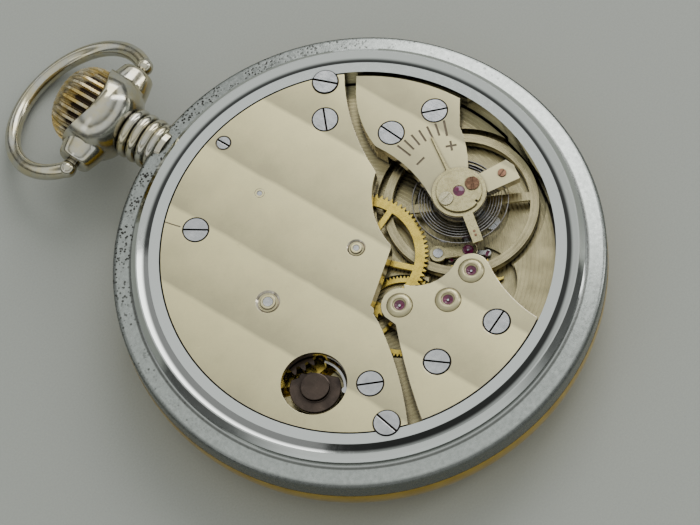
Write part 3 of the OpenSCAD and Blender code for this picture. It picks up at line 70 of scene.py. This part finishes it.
class Look:
    """A material under construction: a Principled shader and short calls that build what feeds it."""

    def __init__(self, name, rough=0.3, metallic=1.0, **constants):
        self.mat = bpy.data.materials.new(name)
        self.mat.use_nodes = True
        self.tree = self.mat.node_tree
        self.tree.nodes.clear()
        out = self.add("ShaderNodeOutputMaterial")
        self.bsdf = self.add("ShaderNodeBsdfPrincipled")
        self.tree.links.new(self.bsdf.outputs["BSDF"], out.inputs["Surface"])
        self.bsdf.inputs["Metallic"].default_value = metallic
        self.bsdf.inputs["Roughness"].default_value = rough
        for key, value in constants.items():
            self.bsdf.inputs[key.replace("_", " ")].default_value = value
        coords = self.add("ShaderNodeTexCoord").outputs["Object"]
        scale = self.add("ShaderNodeVectorMath", operation="SCALE")
        self.tree.links.new(coords, scale.inputs[0])
        scale.inputs["Scale"].default_value = 1 / MM
        self.pos = scale.outputs[0]
        split = self.add("ShaderNodeSeparateXYZ")
        self.tree.links.new(self.pos, split.inputs[0])
        self.x, self.y, self.z = split.outputs
        geo = self.add("ShaderNodeNewGeometry")
        facing = self.add("ShaderNodeSeparateXYZ")
        self.tree.links.new(geo.outputs["True Normal"], facing.inputs[0])
        self.up = facing.outputs["Z"]

    def add(self, kind, **props):
        node = self.tree.nodes.new(kind)
        for key, value in props.items():
            setattr(node, key, value)
        return node

    def put(self, socket, value):
        if isinstance(value, bpy.types.NodeSocket):
            self.tree.links.new(value, socket)
        elif isinstance(value, (tuple, list)) and len(value) == 3 and socket.type == "RGBA":
            socket.default_value = (*value, 1)
        else:
            socket.default_value = value

    def math(self, operation, *values, clamp=False):
        node = self.add("ShaderNodeMath", operation=operation, use_clamp=clamp)
        for socket, value in zip(node.inputs, values):
            self.put(socket, value)
        return node.outputs[0]

    def map(self, value, lo, hi, out_lo=0.0, out_hi=1.0, smooth=False):
        node = self.add("ShaderNodeMapRange", interpolation_type="SMOOTHSTEP" if smooth else "LINEAR")
        for socket, v in zip(node.inputs, (value, lo, hi, out_lo, out_hi)):
            self.put(socket, v)
        return node.outputs[0]

    def mix(self, factor, a, b, blend="MIX"):
        node = self.add("ShaderNodeMix", data_type="RGBA", blend_type=blend)
        self.put(node.inputs[0], factor)
        self.put(node.inputs[6], a)
        self.put(node.inputs[7], b)
        return node.outputs[2]

    def stretched(self, sx, sy, sz, turn=0.0):
        node = self.add("ShaderNodeMapping")
        self.tree.links.new(self.pos, node.inputs["Vector"])
        node.inputs["Scale"].default_value = (sx, sy, sz)
        node.inputs["Rotation"].default_value = (0, 0, math.radians(turn))
        return node.outputs[0]

    def noise(self, scale, detail=3.0, rough=0.55, at=None):
        node = self.add("ShaderNodeTexNoise")
        self.put(node.inputs["Vector"], at or self.pos)
        self.put(node.inputs["Scale"], scale)
        self.put(node.inputs["Detail"], detail)
        self.put(node.inputs["Roughness"], rough)
        return node.outputs[0]

    def cells(self, scale, at=None):
        node = self.add("ShaderNodeTexVoronoi")
        self.put(node.inputs["Vector"], at or self.pos)
        self.put(node.inputs["Scale"], scale)
        return node.outputs["Distance"]

    def near(self, cx, cy):
        """Distance in millimetres from the upright line through (cx, cy)."""
        dx = self.math("SUBTRACT", self.x, cx)
        dy = self.math("SUBTRACT", self.y, cy)
        return self.math("SQRT", self.math("ADD", self.math("MULTIPLY", dx, dx), self.math("MULTIPLY", dy, dy)))

    def collar(self, centres, r0, r1, soft=0.03):
        """1 between two radii about any of the centres."""
        nearest = None
        for x, y in centres:
            d = self.near(x, y)
            nearest = d if nearest is None else self.math("MINIMUM", nearest, d)
        inner = self.map(nearest, r0 - soft, r0)
        return self.math("MULTIPLY", inner, self.map(nearest, r1, r1 + soft, 1, 0))

    def crevice(self, distance=0.5, lo=0.35, hi=0.95):
        """Painted shade: 0 deep in corners, 1 in the open."""
        node = self.add("ShaderNodeAmbientOcclusion", samples=10)
        node.inputs["Distance"].default_value = distance * MM
        return self.map(node.outputs["AO"], lo, hi)

    def color(self, value):
        self.put(self.bsdf.inputs["Base Color"], value)

    def rough(self, value):
        self.put(self.bsdf.inputs["Roughness"], value)

    def bump(self, height, strength=0.3, distance=0.01):
        node = self.add("ShaderNodeBump")
        node.inputs["Strength"].default_value = strength
        node.inputs["Distance"].default_value = distance * MM
        self.put(node.inputs["Height"], height)
        self.tree.links.new(node.outputs[0], self.bsdf.inputs["Normal"])


def metal(name, light, dark, rough, corner_shade=(0.05, 0.04, 0.03), patch=0.5, scratch=0.1, hide=0.6, fine=2.2):
    """Worn metal: two tones in soft patches, painted shade in the corners, fine random scratches."""
    k = Look(name, rough)
    tone = k.map(k.noise(patch, 4), 0.3, 0.7)
    base = k.mix(tone, dark, light)
    speck = k.map(k.noise(fine, 2), 0.35, 0.75)
    base = k.mix(k.math("MULTIPLY", speck, 0.12), base, dark)
    # Painted shade: corners and recesses are darkened towards a near-black colour
    k.color(k.mix(k.crevice(hide), corner_shade, base))
    lines = k.noise(1, 2, at=k.stretched(6, 0.5, 6, 33))
    k.rough(k.map(k.math("ADD", lines, speck), 0.6, 1.5, rough * 0.75, rough * 1.35))
    k.bump(lines, scratch, 0.004)
    return k.mat


def turned_metal(name, light, dark, rough, centre, corner_shade=(0.04, 0.035, 0.03), pitch=7.0, ridge=0.12):
    """Metal with fine rings left by turning about an upright line."""
    k = Look(name, rough)
    r = k.near(*centre)
    rings = k.noise(1, 3)
    wave = k.math("SINE", k.math("MULTIPLY", k.math("ADD", r, k.math("MULTIPLY", rings, 0.05)), pitch * 6.283))
    tone = k.map(k.noise(0.6, 3), 0.3, 0.7)
    # Painted shade: corners and recesses are darkened towards a near-black colour
    k.color(k.mix(k.crevice(0.5), corner_shade, k.mix(tone, dark, light)))
    k.rough(k.map(wave, -1, 1, rough * 0.8, rough * 1.25))
    k.bump(wave, ridge, 0.004)
    return k.mat


def striped(name, light, dark, starts, pitch, rough=0.36):
    """Bridge metal with broad straight stripes along Y, each lighter towards +X, and fine grain on them."""
    k = Look(name, rough)
    wobble = k.math("MULTIPLY", k.math("SUBTRACT", k.noise(0.35, 2), 0.5), 0.25)
    along = k.math("ADD", k.math("SUBTRACT", k.x, starts), wobble)
    t = k.math("FRACT", k.math("DIVIDE", along, pitch))
    shade = k.map(t, 0.0, 0.92, 0.0, 1.0)
    edge = k.map(t, 0.94, 1.0, 1.0, 0.0)
    shade = k.math("MULTIPLY", shade, edge)
    grain = k.noise(3.2, 3, 0.6, at=k.stretched(9, 1.1, 1, 24))
    cloud = k.noise(0.22, 4, 0.6)
    value = k.math("ADD", shade, k.map(grain, 0.3, 0.7, -0.10, 0.10))
    value = k.math("ADD", value, k.map(cloud, 0.3, 0.7, -0.16, 0.16))
    flat = k.mix(k.map(value, 0, 1), dark, light)
    stain = k.map(k.noise(0.9, 5, 0.7), 0.62, 0.78, 0, 0.35)
    flat = k.mix(stain, flat, (0.30, 0.24, 0.14))
    top = k.map(k.up, 0.9, 0.99)
    side = k.mix(k.map(k.noise(1.5, 3), 0.3, 0.7), (0.38, 0.33, 0.25), (0.62, 0.58, 0.48))
    groove = k.math("MULTIPLY", k.map(k.z, 9.955, 9.965, 1, 0), k.map(k.z, 9.90, 9.91, 0, 1))
    groove = k.math("MULTIPLY", top, groove)
    body = k.mix(top, side, flat)
    # Painted shade: corners and recesses of the bridge are darkened
    body = k.mix(k.crevice(0.35), (0.06, 0.045, 0.03), body)
    top_only = k.math("MULTIPLY", top, k.map(k.z, 9.985, 9.995))
    # Painted shade: near-black rings on the bridge top round the screw heads and the lever screw
    bore_shade = k.math("MULTIPLY", k.collar(HEADS, HEAD_R, HEAD_R + 0.09), top_only)
    small = k.math("MULTIPLY", k.collar([LEVER_SCREW], 0.6, 0.82), top_only)
    body = k.mix(k.math("MAXIMUM", bore_shade, small), body, (0.02, 0.014, 0.012))
    k.color(k.mix(groove, body, (0.11, 0.09, 0.065)))
    k.rough(k.mix(top, (0.2, 0.2, 0.2), k.map(value, 0, 1, rough * 1.15, rough * 0.85)))
    k.bump(k.math("ADD", k.math("MULTIPLY", grain, 0.6), k.math("MULTIPLY", t, -0.4)), 0.10, 0.02)
    return k.mat


def screw_metal(name, centres, head_r, top):
    """A polished flat head, with painted shade in its slot and round its edge."""
    k = Look(name, 0.16)
    tone = k.map(k.noise(0.9, 3), 0.3, 0.7)
    base = k.mix(tone, (0.44, 0.45, 0.46), (0.56, 0.565, 0.57))
    # Painted shade: near black round the head's edge and in the slot below its top
    edge = k.collar(centres, head_r - 0.03, head_r + 0.1, 0.03)
    hollow_shade = k.math("MULTIPLY", k.map(k.z, top - 0.09, top - 0.07, 1, 0), k.collar(centres, -1, head_r + 0.1))
    k.color(k.mix(k.math("MAXIMUM", edge, hollow_shade), base, (0.022, 0.018, 0.016)))
    grain = k.noise(1.2, 2, at=k.stretched(5, 0.6, 5, 20))
    k.rough(k.map(grain, 0.3, 0.7, 0.12, 0.24))
    k.bump(grain, 0.12, 0.004)
    return k.mat


def cap_screw_metal():
    """The endstone cap's two screws: one bright, one gone brown."""
    k = Look("cap_screw_metal", 0.2)
    spots = k.map(k.noise(4, 3), 0.3, 0.7)
    brown = k.mix(spots, (0.10, 0.055, 0.035), (0.20, 0.115, 0.07))
    bright = k.mix(spots, (0.44, 0.40, 0.25), (0.52, 0.48, 0.33))
    base = k.mix(k.map(k.x, 10.3, 10.6), bright, brown)
    # Painted shade: corners and recesses are darkened
    k.color(k.mix(k.crevice(0.2), (0.03, 0.022, 0.018), base))
    k.rough(k.map(k.noise(8, 2), 0.3, 0.7, 0.16, 0.3))
    return k.mat


def case_metal():
    """Polished nickel, duller and pitted on the shoulder that the case back leaves bare."""
    k = Look("case_nickel", 0.1)
    r = k.near(0, 0)
    tone = k.map(k.noise(0.2, 3), 0.3, 0.7)
    base = k.mix(tone, (0.51, 0.535, 0.515), (0.60, 0.625, 0.60))
    band = k.math("MULTIPLY", k.map(r, 22.95, 23.1), k.map(k.z, 9.25, 9.1))
    worn = k.mix(k.map(k.noise(2.2, 5, 0.7), 0.35, 0.65), (0.29, 0.31, 0.29), (0.42, 0.445, 0.42))
    base = k.mix(k.math("MULTIPLY", band, 0.85), base, worn)
    ledge = k.map(r, 21.05, 21.1, 1, 0)
    # Painted shade on the snap ring: a dark band, wider to one side, fading to pale further out; painted light
    # on the paler ledge inside it. It is fixed to the metal and does not move
    across = k.math("ADD", k.math("MULTIPLY", k.x, -0.78), k.math("MULTIPLY", k.y, -0.47))
    low = k.map(across, -10, 20, 0.1, 0.62)
    ring_shade = k.map(k.math("SUBTRACT", r, low), 21.15, 21.55, smooth=True)
    ring_shade = k.mix(ring_shade, (0.05, 0.052, 0.05), (0.54, 0.56, 0.535))
    high = k.map(k.z, 9.95, 9.99)
    base = k.mix(high, base, k.mix(ledge, ring_shade, (0.63, 0.655, 0.635)))
    # Painted shade: a dark band at the outer edge of the shoulder
    rim = k.math("MULTIPLY", k.map(r, 24.55, 24.8), k.map(k.z, 9.3, 9.1))
    base = k.mix(k.math("MULTIPLY", rim, 0.7), base, (0.10, 0.105, 0.10))
    joint = k.math("MULTIPLY", k.map(r, 22.96, 23.0), k.map(r, 23.24, 23.34, 1, 0))
    joint = k.math("MULTIPLY", joint, band)
    neck = k.map(k.y, -12, 23)
    holes = k.map(k.cells(1.4), 0.15, 0.24, 1, 0)
    more = k.map(k.cells(3.0), 0.30, 0.42, 1, 0)
    keep = k.math("SUBTRACT", k.map(k.noise(0.55, 3), 0.40, 0.52), k.map(k.y, 20, 6, 0, 0.7), clamp=True)
    sparse = k.map(k.noise(0.9, 2), 0.46, 0.54)
    pits = k.math("MAXIMUM", k.math("MULTIPLY", holes, sparse), k.math("MULTIPLY", more, keep))
    pits = k.math("MULTIPLY", pits, k.math("MULTIPLY", band, neck))
    base = k.mix(k.math("MULTIPLY", joint, 0.75), base, (0.06, 0.06, 0.055))
    # Painted shade: corners and recesses are darkened
    base = k.mix(k.crevice(0.4), (0.05, 0.045, 0.04), base)
    k.color(k.mix(pits, base, (0.035, 0.032, 0.028)))
    fine = k.noise(2.5, 3, 0.6)
    smear = k.map(k.noise(1.1, 5, 0.7), 0.45, 0.8, 0.07, 0.13)
    k.rough(k.math("ADD", smear, k.math("MULTIPLY", band, k.map(fine, 0.3, 0.7, 0.12, 0.26))))
    k.bump(k.math("MULTIPLY", k.math("SUBTRACT", k.math("MULTIPLY", fine, 0.4), pits), band), 0.2, 0.03)
    return k.mat


def pendant_metal():
    """Nickel under worn gilding, with painted shade black in its grooves."""
    k = Look("pendant_nickel", 0.2)
    tone = k.map(k.noise(0.45, 4, 0.6), 0.40, 0.62)
    base = k.mix(tone, (0.50, 0.49, 0.43), (0.54, 0.49, 0.33))
    stain = k.map(k.noise(1.4, 4, 0.6), 0.60, 0.75, 0, 0.45)
    base = k.mix(stain, base, (0.26, 0.20, 0.11))
    # Painted shade: grooves and recesses go nearly black
    k.color(k.mix(k.crevice(0.7, 0.3, 0.9), (0.025, 0.02, 0.016), base))
    k.rough(k.map(k.noise(1.5, 3), 0.3, 0.7, 0.10, 0.22))
    k.bump(k.noise(2.0, 2), 0.06, 0.02)
    return k.mat


def crown_metal():
    """Gold worn through to nickel on the ridges of the flutes."""
    k = Look("crown_gold", 0.22)
    wear = k.map(k.noise(0.55, 4, 0.6), 0.42, 0.60)
    base = k.mix(wear, (0.50, 0.36, 0.12), (0.50, 0.44, 0.30))
    from_axis = k.math("SQRT", k.math("ADD", k.math("MULTIPLY", k.x, k.x),
                                      k.math("POWER", k.math("SUBTRACT", k.z, STEM_Z), 2)))
    # Painted shade: near black inside about 4.1 mm of the stem axis below the dome, and darkened corners and
    # recesses
    dome = k.map(k.y, 34.2, 36.6, 0, 0.6)
    hollow_shade = k.map(k.math("ADD", from_axis, dome), 4.10, 4.32, 1, 0)
    hollow_shade = k.math("MULTIPLY", hollow_shade, k.map(k.y, 35.4, 36.4, 1, 0))
    base = k.mix(hollow_shade, base, (0.018, 0.012, 0.008))
    k.color(k.mix(k.crevice(0.5, 0.2, 0.85), (0.02, 0.013, 0.008), base))
    k.rough(k.map(k.noise(4, 3), 0.3, 0.7, 0.16, 0.36))
    k.bump(k.noise(8, 3), 0.2, 0.02)
    return k.mat


def gem(name, deep, bright):
    """Polished ruby in two tones."""
    k = Look(name, 0.12, 0.0, IOR=1.6, Coat_Weight=0.15, Coat_Roughness=0.05)
    tone = k.map(k.noise(2.5, 3), 0.3, 0.7, 0.0, 0.6)
    k.color(k.mix(tone, deep, bright))
    k.rough(k.map(k.noise(4, 2), 0.3, 0.7, 0.09, 0.16))
    return k.mat


def glass(name):
    """Clear crystal with faint smears."""
    k = Look(name, 0.02, 0.0, IOR=1.5, Transmission_Weight=1.0)
    k.color(k.mix(k.map(k.noise(0.1, 2), 0.3, 0.7), (0.97, 0.985, 0.98), (0.99, 1, 1)))
    k.rough(k.map(k.noise(1.5, 5, 0.7), 0.6, 0.8, 0.01, 0.08))
    return k.mat


def enamel(name):
    """Glossy off-white dial."""
    k = Look(name, 0.12, 0.0, Coat_Weight=0.5, Coat_Roughness=0.04)
    tone = k.map(k.noise(0.15, 3), 0.3, 0.7)
    k.color(k.mix(tone, (0.80, 0.78, 0.70), (0.86, 0.85, 0.80)))
    k.rough(k.map(k.noise(3, 3), 0.3, 0.7, 0.08, 0.16))
    return k.mat


def paint(name, a, b, rough=0.4):
    """Matt paint or ink in two close tones."""
    k = Look(name, rough, 0.0)
    k.color(k.mix(k.map(k.noise(5, 3), 0.3, 0.7), a, b))
    k.rough(k.map(k.noise(9, 2), 0.3, 0.7, rough * 0.8, rough * 1.2))
    return k.mat


CHAMPAGNE = (0.695, 0.628, 0.350)
CHAMPAGNE_DARK = (0.385, 0.352, 0.216)
LOOKS = {
    "case_nickel": case_metal(),
    "pendant_nickel": pendant_metal(),
    "bezel_gold": metal("bezel_gold", (0.72, 0.50, 0.09), (0.56, 0.36, 0.05), 0.13, (0.08, 0.05, 0.02)),
    "crown_gold": crown_metal(),
    "crystal_glass": glass("crystal_glass"),
    "bridge": striped("bridge_nickel", CHAMPAGNE, CHAMPAGNE_DARK, 1.9, 7.4),
    "train_bridge": striped("train_bridge_nickel", CHAMPAGNE, CHAMPAGNE_DARK, 1.2, 7.4),
    "cock": striped("cock_nickel", (0.54, 0.49, 0.285), (0.33, 0.303, 0.19), 9.2, 6.4),
    "plate_nickel": turned_metal("plate_nickel", (0.38, 0.335, 0.19), (0.25, 0.22, 0.125), 0.30, (0, 0),
                                 pitch=2.4, ridge=0.02),
    "screw_steel": metal("screw_steel", (0.56, 0.56, 0.56), (0.40, 0.40, 0.40), 0.16,
                         (0.015, 0.014, 0.013), hide=0.3),
    "bridge_screw": screw_metal("bridge_screw_steel", HEADS[:7], HEAD_R, 10.03),
    "case_screw": screw_metal("case_screw_steel", HEADS[7:], HEAD_R, 10.15),
    "lever_screw": screw_metal("lever_screw_steel", [LEVER_SCREW], 0.72, 10.02),
    "steel": metal("steel", (0.60, 0.60, 0.59), (0.40, 0.40, 0.40), 0.28, (0.03, 0.028, 0.025)),
    "dark_steel": metal("dark_steel", (0.095, 0.072, 0.058), (0.035, 0.028, 0.025), 0.22,
                        (0.008, 0.007, 0.006)),
    "ruby": gem("ruby", (0.05, 0.002, 0.02), (0.24, 0.012, 0.09)),
    "gilt_ring": metal("gilt_ring", (0.50, 0.45, 0.25), (0.38, 0.335, 0.18), 0.27, (0.10, 0.08, 0.05),
                       hide=0.25),
    "setting": metal("setting_metal", (0.50, 0.455, 0.27), (0.42, 0.38, 0.22), 0.4, (0.12, 0.10, 0.06),
                     hide=0.25),
    "cap_screw": cap_screw_metal(),
    "train_brass": metal("train_brass", (0.70, 0.54, 0.12), (0.52, 0.38, 0.07), 0.27, (0.08, 0.05, 0.015)),
    "balance_gilt": turned_metal("balance_gilt", (0.42, 0.37, 0.215), (0.28, 0.245, 0.14), 0.24,
                                 BALANCE_AT, pitch=2.4, ridge=0.03),
    "spring_steel": metal("spring_steel", (0.30, 0.29, 0.29), (0.13, 0.12, 0.12), 0.3, (0.02, 0.02, 0.02)),
    "bronze_screw": metal("bronze_screw", (0.36, 0.20, 0.13), (0.16, 0.08, 0.05), 0.22,
                          (0.02, 0.012, 0.01), hide=0.25),
    "enamel": enamel("enamel"),
    "blued_steel": metal("blued_steel", (0.045, 0.075, 0.26), (0.02, 0.03, 0.12), 0.18, (0.01, 0.01, 0.02)),
}
OWN_LOOK = {
    "barrel_bridge": "bridge", "train_bridge": "train_bridge", "balance_cock": "cock",
    "bridge_screws": "bridge_screw", "case_screws": "case_screw", "setting_lever_screw": "lever_screw",
    "cap_screws": "cap_screw", "pallet_cock": "gilt_ring", "jewel_settings": "setting",
}

slot_of = {s["node"]: s["material_slot"] for s in frame["record"]["subparts"]}
for name, obj in NODES.items():
    obj.data.materials.clear()
    obj.data.materials.append(LOOKS[OWN_LOOK.get(name, slot_of[name])])

# ---- Softened edges on the parts that show them ----

EDGES = {
    "barrel_bridge": 0.13, "train_bridge": 0.13, "balance_cock": 0.11, "endstone_cap": 0.06,
    "bridge_screws": 0.05, "case_screws": 0.05, "setting_lever_screw": 0.04, "regulator": 0.04,
    "balance_wheel": 0.04, "cap_screws": 0.03, "click": 0.08, "pallet_cock": 0.04,
    "center_wheel": 0.02, "main_plate": 0.04, "pendant": 0.12,
}
for name, width in EDGES.items():
    obj = NODES[name]
    weld = obj.modifiers.new("weld", "WELD")
    weld.merge_threshold = 2e-7
    flat = obj.modifiers.new("flat", "DECIMATE")
    flat.decimate_type = "DISSOLVE"
    flat.angle_limit = math.radians(0.5)
    bevel = obj.modifiers.new("bevel", "BEVEL")
    bevel.width = width * MM
    bevel.segments = 2
    bevel.limit_method = "ANGLE"
    bevel.angle_limit = math.radians(40)
    bevel.use_clamp_overlap = True
    bevel.harden_normals = False


# ---- Pieces of mesh ----

def new_mesh(name, bm, material, body="case"):
    data = bpy.data.meshes.new(name)
    bmesh.ops.recalc_face_normals(bm, faces=bm.faces)
    bm.to_mesh(data)
    bm.free()
    obj = bpy.data.objects.new(name, data)
    bpy.context.scene.collection.objects.link(obj)
    data.materials.append(material)
    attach(obj, body)
    return obj


def prism(bm, outline, z0, z1):
    """A closed flat prism over an outline given in millimetres."""
    low = [bm.verts.new((x * MM, y * MM, z0 * MM)) for x, y in outline]
    high = [bm.verts.new((x * MM, y * MM, z1 * MM)) for x, y in outline]
    bm.faces.new(low)
    bm.faces.new(high)
    n = len(outline)
    for i in range(n):
        bm.faces.new((low[i], low[(i + 1) % n], high[(i + 1) % n], high[i]))


def tick(bm, centre, angle, r0, r1, width, z0, z1):
    """A bar that runs from r0 to r1 at an angle about a centre."""
    c, s = math.cos(math.radians(angle)), math.sin(math.radians(angle))
    w = width / 2
    prism(bm, [(centre[0] + r * c - side * w * s, centre[1] + r * s + side * w * c)
               for r, side in ((r0, -1), (r1, -1), (r1, 1), (r0, 1))], z0, z1)


def ring(bm, centre, r0, r1, z0, z1, steps=96):
    """A flat closed ring."""
    rows = []
    for r, z in ((r0, z0), (r1, z0), (r1, z1), (r0, z1)):
        rows.append([bm.verts.new(((centre[0] + r * math.cos(2 * math.pi * i / steps)) * MM,
                                   (centre[1] + r * math.sin(2 * math.pi * i / steps)) * MM, z * MM))
                     for i in range(steps)])
    for a in range(4):
        for i in range(steps):
            j = (i + 1) % steps
            bm.faces.new((rows[a][i], rows[a][j], rows[(a + 1) % 4][j], rows[(a + 1) % 4][i]))


# Dial print: minute track, numerals and the small seconds track
DIAL_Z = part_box("dial")[0].z / MM
INK = paint("dial_ink", (0.012, 0.011, 0.012), (0.03, 0.028, 0.028), 0.35)
SUB = (0.0, -11.0)
PRINT_Z = (DIAL_Z - 0.012, DIAL_Z + 0.01)
SUB_PRINT_Z = (DIAL_Z + 0.105, DIAL_Z + 0.13)
track = bmesh.new()
ring(track, (0, 0), 18.9, 19.0, *PRINT_Z, 180)
ring(track, (0, 0), 17.9, 18.0, *PRINT_Z, 180)
for i in range(60):
    tick(track, (0, 0), 6 * i, 18.0, 18.9, 0.32 if i % 5 == 0 else 0.12, *PRINT_Z)
ring(track, SUB, 4.1, 4.16, *SUB_PRINT_Z)
for i in range(60):
    tick(track, SUB, 6 * i, 3.75 if i % 5 else 3.4, 4.12, 0.06 if i % 5 else 0.12, *SUB_PRINT_Z)
new_mesh("dial_track", track, INK)

numerals = bmesh.new()


def numeral(text, x, y, height):
    """A numeral on the dial, read from the dial side with the crown at the top."""
    curve = bpy.data.curves.new("numeral_" + text, "FONT")
    curve.body = text
    curve.size = height * MM
    curve.extrude = 0.011 * MM
    curve.align_x = "CENTER"
    curve.align_y = "CENTER"
    holder = bpy.data.objects.new("numeral_" + text, curve)
    bpy.context.scene.collection.objects.link(holder)
    bpy.context.view_layer.update()
    mesh = bpy.data.meshes.new_from_object(holder.evaluated_get(bpy.context.evaluated_depsgraph_get()))
    to_dial = Matrix.Translation((x * MM, y * MM, (DIAL_Z - 0.003) * MM))
    mesh.transform(to_dial @ Matrix.Rotation(math.pi, 4, "Y") @ Matrix.Diagonal((0.82, 1.0, 1.0, 1.0)))
    numerals.from_mesh(mesh)
    bpy.data.objects.remove(holder)
    bpy.data.curves.remove(curve)
    bpy.data.meshes.remove(mesh)


for hour in range(1, 13):
    if hour == 6:
        continue
    angle = math.radians(90 + 30 * hour)
    numeral(str(hour), 15.2 * math.cos(angle), 15.2 * math.sin(angle), 4.6)
new_mesh("dial_numerals", numerals, INK)

# ---- Stage, light and camera ----

floor_bm = bmesh.new()
bmesh.ops.create_grid(floor_bm, x_segments=1, y_segments=1, size=1.6)
floor = new_mesh("floor", floor_bm, paint("floor_paint", (0.295, 0.308, 0.278), (0.325, 0.338, 0.306), 0.6))
floor.parent = None
floor.location.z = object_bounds()[0][2]

world = bpy.data.worlds.new("studio")
bpy.context.scene.world = world
world.use_nodes = True
sky = world.node_tree
toward = sky.nodes.new("ShaderNodeSeparateXYZ")
sky.links.new(sky.nodes.new("ShaderNodeTexCoord").outputs["Generated"], toward.inputs[0])
# Brightness of the room by height: dark walls with one pale band, a darker one, then a pale ceiling
height = sky.nodes.new("ShaderNodeValToRGB")
sky.links.new(toward.outputs["Z"], height.inputs[0])
while len(height.color_ramp.elements) > 1:
    height.color_ramp.elements.remove(height.color_ramp.elements[-1])
ROOM = ((0.0, 0.06), (0.16, 0.10), (0.24, 0.60), (0.44, 0.66),
        (0.52, 0.12), (0.60, 0.22), (0.70, 0.50), (1.0, 0.60))
for i, (at_height, level) in enumerate(ROOM):
    stop = height.color_ramp.elements[0] if i == 0 else height.color_ramp.elements.new(at_height)
    stop.position = at_height
    stop.color = (level * 0.97, level, level * 0.985, 1)
background = sky.nodes["Background"]
sky.links.new(height.outputs[0], background.inputs["Color"])
background.inputs["Strength"].default_value = 1.7


def soft_light(name, place, aim, size, power):
    data = bpy.data.lights.new(name, "AREA")
    data.shape = "RECTANGLE"
    data.size, data.size_y = size
    data.energy = power
    obj = bpy.data.objects.new(name, data)
    bpy.context.scene.collection.objects.link(obj)
    obj.location = place
    obj.rotation_euler = (Vector(aim) - Vector(place)).to_track_quat("-Z", "Y").to_euler()


soft_light("key", (0.72, 0.20, 0.66), (0, 0, 0), (0.60, 0.70), 5.0)
soft_light("fill", (-0.55, 0.15, 0.40), (0, 0, 0), (0.14, 0.45), 0.15)
soft_light("rim", (0.45, -0.35, 0.30), (0, 0, 0), (0.10, 0.45), 0.7)

# The camera looks down at the movement from the lower left
back = Vector((-0.2958, -0.3117, 0.9030)).normalized()
right = Vector((0.7254, -0.6884, 0)).normalized()
up = back.cross(right)
roll = math.radians(-14.0)
cam_right = math.cos(roll) * right + math.sin(roll) * up
cam_up = -math.sin(roll) * right + math.cos(roll) * up
look_at = Vector((-1.676, -0.377, 10.0)) * MM
spot = look_at + back * 0.300
camera_data = bpy.data.cameras.new("camera")
camera_data.lens = 154.3
camera_data.sensor_width = 36
camera_data.clip_start = 0.01
camera = bpy.data.objects.new("camera", camera_data)
bpy.context.scene.collection.objects.link(camera)
camera.matrix_world = Matrix((
    (cam_right.x, cam_up.x, back.x, spot.x), (cam_right.y, cam_up.y, back.y, spot.y),
    (cam_right.z, cam_up.z, back.z, spot.z), (0, 0, 0, 1)))
bpy.context.scene.camera = camera
